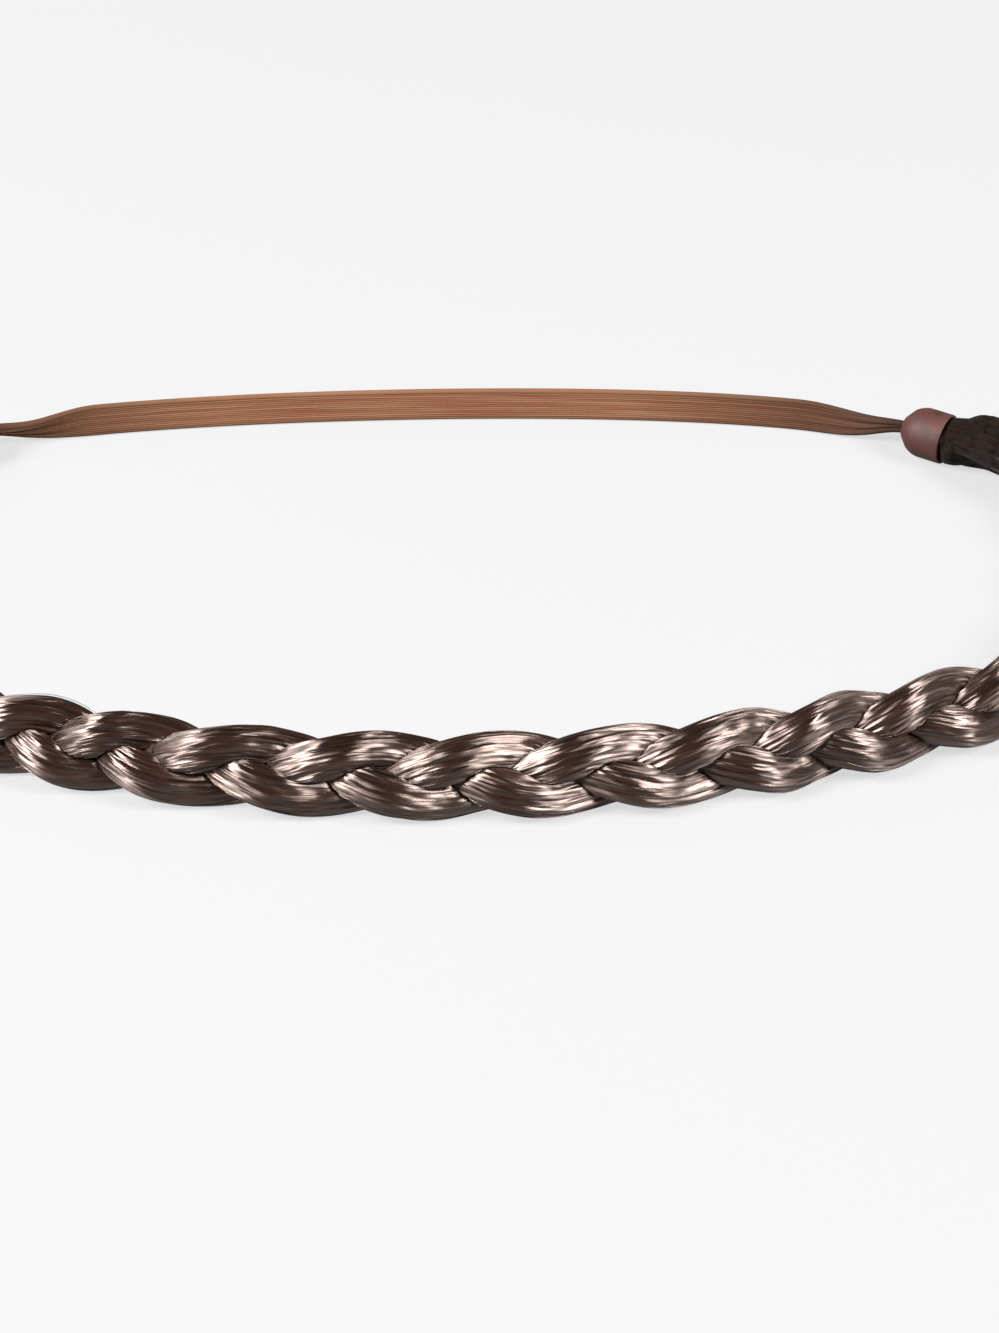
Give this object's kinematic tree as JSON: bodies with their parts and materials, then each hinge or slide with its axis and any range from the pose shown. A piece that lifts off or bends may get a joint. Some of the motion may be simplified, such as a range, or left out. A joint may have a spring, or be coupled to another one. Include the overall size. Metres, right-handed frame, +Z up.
{
  "type": "braided headband",
  "caption": "Closed headband loop: a three-strand plait of synthetic hair round the front and sides, its ends capped and joined by a flat elastic at the back.",
  "frame": {"origin": "middle of the loop's box, on the surface that the loop lies on", "axes": "+X to the loop's right along its longest way, +Y from the front of the plait to the elastic at the back, +Z up, out of the surface"},
  "size_m": [0.224, 0.1137, 0.0123],
  "materials": {
    "hair": "dark brown hair fibres with pale pinkish highlights, soft gloss",
    "elastic": "light copper-brown ribbed woven elastic",
    "cap": "translucent brownish-pink plastic"
  },
  "bodies": {
    "root": {"strand_a": "hair", "strand_b": "hair", "strand_c": "hair", "elastic_band": "elastic", "end_cap_left": "cap", "end_cap_right": "cap"}
  },
  "joints": []
}
